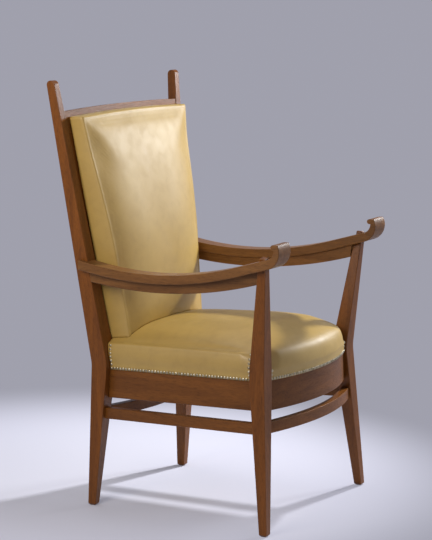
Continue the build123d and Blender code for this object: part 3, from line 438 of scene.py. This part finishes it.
rake = math.atan2(0.0895, 0.726)
back_place = Matrix.Translation((0, 0.226, 0.374)) @ Matrix.Rotation(math.pi / 2 - rake, 4, "X")
web_low, web_high, web_turned, stile_in = 0.122, 0.597, 0.025, 0.021
lengthwise = [(x, web_low - web_turned, web_high + web_turned) for x in (-0.1, 0, 0.1)]
crosswise = []
for step in range(4):
    up = web_low + (web_high - web_low) * (step + 0.5) / 4
    crosswise.append((up, stile_in - back_half(up), back_half(up) - stile_in))
lay_straps("back_straps", lengthwise, crosswise, 0.0127, back_place, "back_webbing")

# Springs and screws: plain drawn steel, a little dulled. The springs stand on the webbing and
# the screws hold the corner blocks.
steel, tree, out = blank_material("dull_steel")
dulling = noise(tree, object_place(tree), 90.0, 4.0)
tarnish = ramp(tree, dulling, ((0.35, (0.20, 0.18, 0.16, 1)), (0.65, (0.42, 0.42, 0.43, 1))))
coat(tree, out, {"Base Color": tarnish, "Metallic": 1.0, "Roughness": carry(tree, dulling, new=(0.55, 0.28))})
dress(["seat_springs", "block_screws"], steel)


# Spring canvas: one sheet of plain woven canvas laid over the springs, under the stuffing,
# and tacked along the top of the seat rails.
def places(form):
    """Places of the form's points."""
    found = np.empty(3 * len(form.data.vertices))
    form.data.vertices.foreach_get("co", found)
    return found.reshape(-1, 3)


canvas_cloth = woven("plain_canvas", 0.0011, (0.36, 0.28, 0.17, 1), (0.52, 0.43, 0.29, 1))
canvas = link("canvas_sheet", frame["nodes"]["spring_canvas"].data.copy())
canvas_shape = bmesh.new()
canvas_shape.from_mesh(canvas.data)
bmesh.ops.remove_doubles(canvas_shape, verts=canvas_shape.verts, dist=1e-6)
canvas_shape.to_mesh(canvas.data)
canvas_area = sum(face.calc_area() for face in canvas_shape.faces) / 2
canvas_shape.free()
canvas.data.materials.clear()
canvas.data.materials.append(canvas_cloth)
corner_low, corner_high = places(canvas).min(0), places(canvas).max(0)
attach(canvas, "root")
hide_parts("spring_canvas")

# Leather: one smooth mustard hide on seat, back and outside back, with a fine pebble grain,
# a slightly cloudy dye and a worn gloss.
hide, takes, gives = new_group(
    "leather_hide", {"Vector": "Vector"}, {"Color": "Color", "Roughness": "Float", "Height": "Float"}
)
pebbles = node(hide, "ShaderNodeTexVoronoi",
               {"Vector": takes.outputs["Vector"], "Scale": 620.0, "Randomness": 1.0}, feature="SMOOTH_F1")
creases = noise(hide, takes.outputs["Vector"], 34.0, 5.0, Roughness=0.55, Distortion=0.4)
dye = noise(hide, takes.outputs["Vector"], 5.0, 3.0)
tone = ramp(hide, dye, ((0.30, (0.410, 0.265, 0.064, 1)), (0.52, (0.450, 0.295, 0.074, 1)),
                        (0.75, (0.480, 0.322, 0.088, 1))))
# The colour is a little darker where the fine relief dips and a little lighter where it rises.
relief_tone = ramp(hide, creases, ((0.34, grey(0.93)), (0.52, grey(1)), (0.72, grey(1.03))))
hide.links.new(mix_colour(hide, 0.8, tone, relief_tone, "MULTIPLY"), gives.inputs["Color"])
hide.links.new(carry(hide, creases, (0.3, 0.7), (0.50, 0.43)), gives.inputs["Roughness"])
surface = arithmetic(hide, "ADD", arithmetic(hide, "MULTIPLY", creases, 1.2), pebbles.outputs["Distance"])
hide.links.new(surface, gives.inputs["Height"])

leather, tree, out = blank_material("mustard_leather")
grain = node(tree, "ShaderNodeGroup", {"Vector": object_place(tree)}, node_tree=hide)
coat(tree, out, {"Base Color": grain.outputs["Color"], "Roughness": grain.outputs["Roughness"],
                 "Specular IOR Level": 0.85, "Coat Weight": 0.03, "Coat Roughness": 0.3,
                 "Normal": relief(tree, grain.outputs["Height"], 0.16, 0.0005)})


# Seat cover: leather over stuffing and springs. Its skirt is nailed to the rails, a stuffed
# border stands above them, and the top is a full crown that falls away towards all four edges.
def smooth_least(distances, softness):
    """Least of several distances, rounded off where two of them are alike."""
    stacked = np.stack(distances)
    return -softness * np.log(np.exp(-stacked / softness).sum(0))


def ease(share):
    """Share from 0 to 1, eased at both ends."""
    return share * share * (3 - 2 * share)


def ring_form(name, inside, middle, levels, step):
    """Closed form lofted through level lines of inside(x, y, softness).

    Each level is (height, inset, softness), and step is the distance between points.
    """
    def ring(turn, inset, softness):
        low = np.zeros(len(turn))
        high = np.full(len(turn), 0.6)
        for _ in range(36):
            half = (low + high) / 2
            far = inside(middle[0] + half * np.cos(turn), middle[1] + half * np.sin(turn), softness) < inset
            high = np.where(far, half, high)
            low = np.where(far, low, half)
        return np.stack([middle[0] + low * np.cos(turn), middle[1] + low * np.sin(turn)], 1)

    dense = np.linspace(0, 2 * math.pi, 4001)
    outline = ring(dense, 0.0, levels[0][2])
    run = np.concatenate([[0], np.cumsum(np.linalg.norm(np.diff(outline, axis=0), axis=1))])
    count = int(run[-1] / step)
    turn = np.interp(np.linspace(0, run[-1], count, endpoint=False), run, dense)
    rings = [np.column_stack([ring(turn, inset, softness), np.full(count, height)])
             for height, inset, softness in levels]
    points = np.concatenate(rings + [[(*middle, levels[0][0]), (*middle, levels[-1][0])]])
    quads = []
    for level in range(len(levels) - 1):
        for index in range(count):
            after = (index + 1) % count
            quads.append([level * count + index, level * count + after,
                          (level + 1) * count + after, (level + 1) * count + index])
    last = (len(levels) - 1) * count
    for index in range(count):
        after = (index + 1) % count
        quads.append([after, index, len(points) - 2])
        quads.append([last + index, last + after, len(points) - 1])
    mesh = bpy.data.meshes.new(name)
    mesh.from_pydata(points, [], quads)
    return link(name, mesh)


def move(form, points):
    """Put the form's points in new places."""
    form.data.vertices.foreach_set("co", np.asarray(points, float).ravel())
    form.data.update()


def neighbours(form):
    """Pairs of joined points, and each point's count of neighbours."""
    pairs = np.array([edge.vertices[:] for edge in form.data.edges])
    return pairs, np.bincount(pairs.ravel(), minlength=len(form.data.vertices))[:, None]


def mean_beside(values, pairs, counts):
    """Mean of the values at each point's neighbours."""
    total = np.zeros_like(values)
    np.add.at(total, pairs[:, 0], values[pairs[:, 1]])
    np.add.at(total, pairs[:, 1], values[pairs[:, 0]])
    return total / counts


def stuff(form, held, most):
    """Swell a form as cloth under pressure, held where held() says and moved by most at the limit."""
    cover = link("cover", form.data.copy())
    remesh = cover.modifiers.new("remesh", "REMESH")
    remesh.mode = "VOXEL"
    remesh.voxel_size = 0.012
    settle(cover)
    rest = places(cover)
    nailed = cover.vertex_groups.new(name="nailed")
    nailed.add([int(index) for index in np.flatnonzero(held(rest))], 1.0, "REPLACE")
    cloth = cover.modifiers.new("cloth", "CLOTH")
    cloth.settings.vertex_group_mass = "nailed"
    cloth.settings.use_pressure = True
    cloth.settings.uniform_pressure_force = 4.0
    cloth.settings.effector_weights.gravity = 0.0
    cloth.settings.quality = 3
    cloth.settings.mass = 0.4
    cloth.settings.tension_stiffness = 20.0
    cloth.settings.compression_stiffness = 20.0
    cloth.settings.bending_stiffness = 2.0
    last_frame = 20
    cloth.point_cache.frame_start = 1
    cloth.point_cache.frame_end = last_frame
    for moment in range(1, last_frame + 1):
        bpy.context.scene.frame_set(moment)
    settle(cover)
    bpy.context.scene.frame_set(1)
    shift = places(cover) - rest
    shift *= np.minimum(1.0, most / np.maximum(np.linalg.norm(shift, axis=1, keepdims=True), 1e-9))
    pairs, counts = neighbours(cover)
    for _ in range(12):
        shift = 0.5 * shift + 0.5 * mean_beside(shift, pairs, counts)
    near = KDTree(len(rest))
    for index, point in enumerate(rest):
        near.insert(point, index)
    near.balance()
    points = places(form)
    for index, point in enumerate(points.copy()):
        found = near.find_n(point, 6)
        weights = np.array([1 / (distance + 0.002) ** 2 for _, _, distance in found])
        points[index] += weights @ shift[[number for _, number, _ in found]] / weights.sum()
    move(form, points)
    bpy.data.objects.remove(cover)


def soften(form, weights, times):
    """Draw each point towards the middle of its neighbours, as far as its weight says."""
    points = places(form)
    pairs, counts = neighbours(form)
    for _ in range(times):
        points += 0.5 * weights[:, None] * (mean_beside(points, pairs, counts) - points)
    move(form, points)


def cut_away(form, cutter):
    """Cut one closed form out of another and drop it."""
    cut = form.modifiers.new("cut", "BOOLEAN")
    cut.operation = "DIFFERENCE"
    cut.solver = "EXACT"
    cut.object = cutter
    settle(form)
    bpy.data.objects.remove(cutter)


def prism(name, outline, low, high, to_world):
    """Straight prism over an outline."""
    count = len(outline)
    points = [to_world @ Vector((x, y, z)) for z in (low, high) for x, y in outline]
    quads = [(i, (i + 1) % count, count + (i + 1) % count, count + i) for i in range(count)]
    quads += [tuple(reversed(range(count))), tuple(range(count, 2 * count))]
    mesh = bpy.data.meshes.new(name)
    mesh.from_pydata(points, [], quads)
    return link(name, mesh)


def upright(stations, side, grow):
    """Bar through stations (z, x, y, width, depth), used to cut soft pieces clear of a leg or post."""
    points = []
    for z, x, y, width, depth in stations:
        for across, along in ((-1, -1), (1, -1), (1, 1), (-1, 1)):
            points.append((side * (x + across * (width / 2 + grow)), y + along * (depth / 2 + grow), z))
    quads = [(0, 3, 2, 1), (8, 9, 10, 11)]
    for ring in (0, 4):
        quads += [(ring + i, ring + (i + 1) % 4, ring + 4 + (i + 1) % 4, ring + 4 + i) for i in range(4)]
    if side < 0:
        quads = [tuple(reversed(quad)) for quad in quads]
    mesh = bpy.data.meshes.new("upright")
    mesh.from_pydata(points, [], quads)
    return link("upright", mesh)


def local(points, matrix):
    """Points in the axes of a plane."""
    back = np.array(matrix.inverted())
    return points @ back[:3, :3].T + back[:3, 3]


def world(points, matrix):
    """Points of a plane in the chair's axes."""
    ahead = np.array(matrix)
    return points @ ahead[:3, :3].T + ahead[:3, 3]


def cover_with(form, material):
    """Give a form one material and a smooth skin."""
    form.data.materials.clear()
    form.data.materials.append(material)
    form.data.shade_smooth()


rail_height, back_edge = 0.102, 0.238
skirt_low, skirt_high, border_high = 0.075, 0.092, 0.142
border_bulge, roll_start, roll_radius = 0.0042, 0.136, 0.010
crown_rise, crown_flat = 0.0465, 0.165
skin_out, corner_softness, point_step = 0.0027, 0.009, 0.0042


def seat_inside(x, y, softness):
    """Distance in from the outer faces of the seat rails; the crown rises faster from the front edge."""
    front = front_radius - np.hypot(x, y - front_centre)
    front = np.where(front > 0, 1.35 * front, front)
    return smooth_least([front, side_edge(y) - x, side_edge(y) + x, back_edge - y], softness)


levels = [(height, -skin_out, corner_softness) for height in (0.058, 0.066, skirt_low, 0.084)]
for height in np.linspace(skirt_high, roll_start, 8):
    share = (height - skirt_high) / (border_high - skirt_high)
    levels.append((height, -skin_out - 4 * border_bulge * share * (1 - share), corner_softness))
for turn in (15, 30, 45, 60):
    turn = math.radians(turn)
    rolled_in = roll_radius * (1 - math.cos(turn))
    levels.append((roll_start + roll_radius * math.sin(turn), -skin_out - 0.0017 + rolled_in, corner_softness))
for inset in np.concatenate([np.arange(0.008, 0.034, 0.0026), np.arange(0.036, 0.163, 0.006)]):
    height = border_high + crown_rise * (1 - (1 - inset / crown_flat) ** 2)
    levels.append((height - 0.001, inset - skin_out, corner_softness + 0.1 * inset))
seat = ring_form("seat_cover", seat_inside, (0, -0.03), levels, point_step)
move(seat, world(places(seat), seat_place))


def seat_nailed(points):
    """The skirt, and the strips of the border beside legs and posts, are nailed down."""
    x, y, z = local(points, seat_place).T
    corner = (z < border_high) & ((y < -0.205) | (y > 0.19)) & (np.abs(x) > 0.19)
    return (z < skirt_high + 0.004) | corner


# The front edge is rounder than the sides, and its ends are tucked in beside the legs.
x, y, z = local(places(seat), seat_place).T
free = np.clip((z - rail_height) / 0.012, 0, 1)
front = np.clip((-0.19 - y) / 0.04, 0, 1)
soften(seat, free * front, 110)
x, y, z = local(places(seat), seat_place).T
tuck = 0.009
y = y + tuck * ease(np.clip((np.abs(x) - 0.178) / 0.036, 0, 1)) * free * front
move(seat, world(np.stack([x, y, z], 1), seat_place))
stuff(seat, seat_nailed, 0.006)

# A shallow crease is drawn in along each side of the top.
crease_in, crease_width, crease_depth, crease_fade = 0.013, 0.007, 0.0032, 0.06
x, y, z = local(places(seat), seat_place).T
from_side = side_edge(y) - np.abs(x)
drawn = np.exp(-(((from_side - crease_in) / crease_width) ** 2))
drawn = drawn * np.clip((y + 0.235) / crease_fade, 0, 1) * np.clip((0.17 - y) / crease_fade, 0, 1)
z = z - crease_depth * drawn * (z > 0.12)
move(seat, world(np.stack([x, y, z], 1), seat_place))
seat_whole = link("seat_whole", seat.data.copy())

# The cover stays clear of the rails inside it and of the legs and posts at its corners.
wide, rail_gap, leg_gap = 0.4, 0.0004, 0.0008
below = [(-wide, -wide), (wide, -wide), (wide, wide), (-wide, wide)]
cut_away(seat, prism("below_skirt", below, 0.02, skirt_low, seat_place))
front_turn = math.asin(0.2395 / front_radius)
core_radius = front_radius + rail_gap
core = [(core_radius * math.sin(turn), front_centre - core_radius * math.cos(turn))
        for turn in np.linspace(-front_turn, front_turn, 25)]
core += [(side_edge(back_edge) + rail_gap, back_edge + rail_gap),
         (-side_edge(back_edge) - rail_gap, back_edge + rail_gap)]
cut_away(seat, prism("rails", core, 0.03, rail_height + 0.0017, seat_place))
post_stations = ((0.25, 0.2190, 0.2336, 0.0401, 0.0381), (0.374, 0.212, 0.226, 0.050, 0.046),
                 (0.62, 0.2428, 0.2563, 0.0405, 0.0382))
leg_stations = ((0.25, 0.2524, -0.2519, 0.0369, 0.0346), (0.387, 0.2375, -0.2395, 0.045, 0.042),
                (0.62, 0.2730, -0.2647, 0.0254, 0.0224))
for side in (-1, 1):
    cut_away(seat, upright(post_stations, side, leg_gap))
    cut_away(seat, upright(leg_stations, side, leg_gap))
cover_with(seat, leather)
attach(seat, "root")
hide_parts("seat_leather", "seat_stuffing")

# Back pad: leather over a tall stuffed pad between the posts. Its border stands forward of the
# frame, rolls over a firm edge and swells to a shallow crown; its foot rests on the seat.
pad_base, pad_edge, pad_rise, pad_flat = 0.0146, 0.068, 0.018, 0.155
pad_top, pad_spread = 0.637, 0.125
pad_roll, pad_roll_start, pad_softness = 0.006, pad_edge - 0.0044, 0.002
pad_least, pad_gain, pad_gain_run = 0.71, 0.36, 0.36


def pad_inside(x, y, softness):
    """Distance in from the edge of the pad; y runs up the rake."""
    slope = math.hypot(1, pad_spread)
    half = 0.186 + pad_spread * y
    top = pad_top + 0.006 * (1 - (x / 0.265) ** 2) - y
    return smooth_least([(half - x) / slope, (half + x) / slope, top, y - 0.02], softness)


levels = [(depth, 0.0, pad_softness) for depth in (-0.004, 0.006, pad_base)]
for depth in np.linspace(0.021, pad_roll_start, 7):
    bulge = 0.0006 * math.sin(math.pi * (depth - pad_base) / (pad_edge - pad_base))
    levels.append((depth, -bulge, pad_softness))
for turn in (15, 30, 45, 60, 72):
    turn = math.radians(turn)
    levels.append((pad_roll_start + pad_roll * math.sin(turn), pad_roll * (1 - math.cos(turn)), 0.0025))
for inset in np.concatenate([np.arange(0.008, 0.03, 0.0036), np.arange(0.033, 0.154, 0.006)]):
    depth = pad_edge + pad_rise * (1 - (1 - inset / pad_flat) ** 2)
    levels.append((depth - 0.001, inset, 0.0025 + 0.14 * inset))
pad = ring_form("back_pad", pad_inside, (0, 0.33), levels, point_step)

# The pad is thinner at its top than at its foot.
x, up, depth = places(pad).T
fuller = pad_least + pad_gain * ease(np.clip((pad_top - up) / pad_gain_run, 0, 1))
depth = np.where(depth > pad_base, pad_base + (depth - pad_base) * fuller, depth)
move(pad, world(np.stack([x, up, depth], 1), back_place))


def pad_held(points):
    """The border next to the frame, and the foot behind the seat, are held."""
    x, up, depth = local(points, back_place).T
    return (depth < pad_base + 0.012) | (up < 0.06)


stuff(pad, pad_held, 0.005)
behind = [(-wide, -0.1), (wide, -0.1), (wide, 0.8), (-wide, 0.8)]
cut_away(pad, prism("behind_pad", behind, -0.05, pad_base, back_place))
swell = seat_whole.modifiers.new("swell", "DISPLACE")
swell.strength = 0.0006
swell.mid_level = 0.0
settle(seat_whole)
cut_away(pad, seat_whole)
cover_with(pad, leather)
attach(pad, "root")
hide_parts("back_leather", "back_stuffing")

# Outside back: one flat piece of the same leather, stretched over the rear of the back frame
# and nailed round its edge. It stands out very slightly in the middle.
panel_low, panel_high, panel_front = 0.078, 0.639, -0.0115
panel_wall, panel_gap, panel_fullness = 0.0016, 0.0004, 0.0014


def panel_half(up):
    """Half the width of the panel at a place up the back."""
    return back_half(up) - 0.006


columns, rows = 48, 64
points = []
for row in range(rows + 1):
    up = panel_low + (panel_high - panel_low) * row / rows
    for column in range(columns + 1):
        across = 2 * column / columns - 1
        fullness = (1 - across**4) * (1 - (2 * row / rows - 1) ** 4)
        depth = panel_front - panel_gap - panel_fullness * fullness
        points.append(back_place @ Vector((across * panel_half(up), up, depth)))
quads = []
for row in range(rows):
    for column in range(columns):
        first = row * (columns + 1) + column
        quads.append((first, first + columns + 1, first + columns + 2, first + 1))
panel_mesh = bpy.data.meshes.new("outside_back_cover")
panel_mesh.from_pydata(points, [], quads)
panel = link("outside_back_cover", panel_mesh)
wall = panel.modifiers.new("wall", "SOLIDIFY")
wall.thickness = panel_wall
wall.offset = 1.0
settle(panel)
cover_with(panel, leather)
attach(panel, "root")
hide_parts("outside_back")

# Upholstery nails: brass domes driven close together along the lower edge of the seat cover and up
# beside the legs and posts, and further apart round the outside back.
brass, tree, out = blank_material("dull_brass")
handling = noise(tree, object_place(tree), 160.0, 3.0)
tarnish = ramp(tree, handling, ((0.35, (0.30, 0.25, 0.15, 1)), (0.62, (0.66, 0.60, 0.44, 1))))
coat(tree, out, {"Base Color": tarnish, "Metallic": 1.0, "Roughness": carry(tree, handling, new=(0.5, 0.24))})

nails, takes, gives = new_tree(
    "dome_nails",
    {"Head Radius": "Float", "Head Height": "Float", "Unevenness": "Float", "Seed": "Int", "Finish": "Material"},
)
ball = node(nails, "GeometryNodeMeshUVSphere", {"Segments": 12, "Rings": 8, "Radius": 1.0})
size = node(nails, "ShaderNodeCombineXYZ",
            {"X": takes.outputs["Head Radius"], "Y": takes.outputs["Head Radius"],
             "Z": takes.outputs["Head Height"]})
head = node(nails, "GeometryNodeTransform", {"Geometry": ball.outputs["Mesh"], "Scale": size.outputs["Vector"]})
head = node(nails, "GeometryNodeSetShadeSmooth", {"Geometry": head.outputs["Geometry"]})
facing = node(nails, "GeometryNodeInputNamedAttribute", {"Name": "facing"}, data_type="FLOAT_VECTOR")
turned = node(nails, "FunctionNodeAlignRotationToVector", {"Vector": facing.outputs["Attribute"]}, axis="Z")
least = arithmetic(nails, "SUBTRACT", 1.0, takes.outputs["Unevenness"])
uneven = node(nails, "FunctionNodeRandomValue", {2: least, 3: 1.0, "Seed": takes.outputs["Seed"]},
              data_type="FLOAT")
driven = node(nails, "GeometryNodeInstanceOnPoints",
              {"Points": takes.outputs["Geometry"], "Instance": head.outputs["Geometry"],
               "Rotation": turned.outputs["Rotation"], "Scale": uneven.outputs[1]})
solid = node(nails, "GeometryNodeRealizeInstances", {"Geometry": driven.outputs["Instances"]})
coated = node(nails, "GeometryNodeSetMaterial",
              {"Geometry": solid.outputs["Geometry"], "Material": takes.outputs["Finish"]})
nails.links.new(coated.outputs["Geometry"], gives.inputs["Geometry"])


def drive_nails(name, spots, matrix, surface, replaced):
    """Nails on a cover; each spot is a place near its surface and the way it faces, in the plane's axes."""
    bpy.context.view_layer.update()
    cover = BVHTree.FromObject(surface, bpy.context.evaluated_depsgraph_get())
    turn = matrix.to_3x3()
    points, ways = [], []
    for spot, way in spots:
        way = (turn @ Vector(way)).normalized()
        hit = cover.ray_cast(matrix @ Vector(spot) + 0.03 * way, -way, 0.06)[0]
        points.append(hit if hit else matrix @ Vector(spot))
        ways.append(way)
    mesh = bpy.data.meshes.new(name)
    mesh.from_pydata(points, [], [])
    mesh.attributes.new("facing", "FLOAT_VECTOR", "POINT").data.foreach_set("vector", np.array(ways).ravel())
    made = link(name, mesh)
    grow_nodes(made, nails, {"Head Radius": 0.004, "Head Height": 0.0023, "Unevenness": 0.06, "Seed": 4,
                             "Finish": brass})
    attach(made, "root")
    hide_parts(replaced)


def spaced(start, end, pitch):
    """Even places from start to end, no further apart than the pitch."""
    return np.linspace(start, end, math.ceil(abs(end - start) / pitch) + 1)


low_row, high_row = 0.079, 0.138
close_pitch, rising_pitch = 0.009, 0.0107
ends = (-0.2127, 0.1966)
nail_radius, rear_line, rear_half = 0.5743, 0.2405, 0.1807
arc = math.asin(0.210 / nail_radius)
lifts = spaced(low_row, high_row, rising_pitch)[1:]
side_spots = [(y, low_row) for y in spaced(*ends, close_pitch)] + [(y, lift) for lift in lifts for y in ends]
front_spots = [(turn, low_row) for turn in spaced(-arc, arc, close_pitch / nail_radius)]
front_spots += [(turn, lift) for lift in lifts for turn in (-arc, arc)]
spots = [((side * side_edge(y), y, lift), (side, 0.0466, 0)) for side in (-1, 1) for y, lift in side_spots]
for turn, lift in front_spots:
    across, ahead = math.sin(turn), math.cos(turn)
    spots.append(((nail_radius * across, front_centre - nail_radius * ahead, lift), (across, -ahead, 0)))
spots += [((x, rear_line, low_row), (0, 1, 0)) for x in spaced(-rear_half, rear_half, close_pitch)]
drive_nails("seat_cover_nails", spots, seat_place, seat, "seat_nails")

wide_pitch, nailed_in, nail_depth = 0.02, 0.008, panel_front - 0.002
ups = spaced(panel_low + nailed_in, panel_high - nailed_in, wide_pitch)
spots = [((side * (panel_half(up) - nailed_in), up, nail_depth), (0, 0, -1)) for side in (-1, 1) for up in ups]
for up in (ups[0], ups[-1]):
    end = panel_half(up) - nailed_in
    spots += [((x, up, nail_depth), (0, 0, -1)) for x in spaced(-end, end, wide_pitch)[1:-1]]
drive_nails("outside_back_nails", spots, back_place, panel, "back_nails")
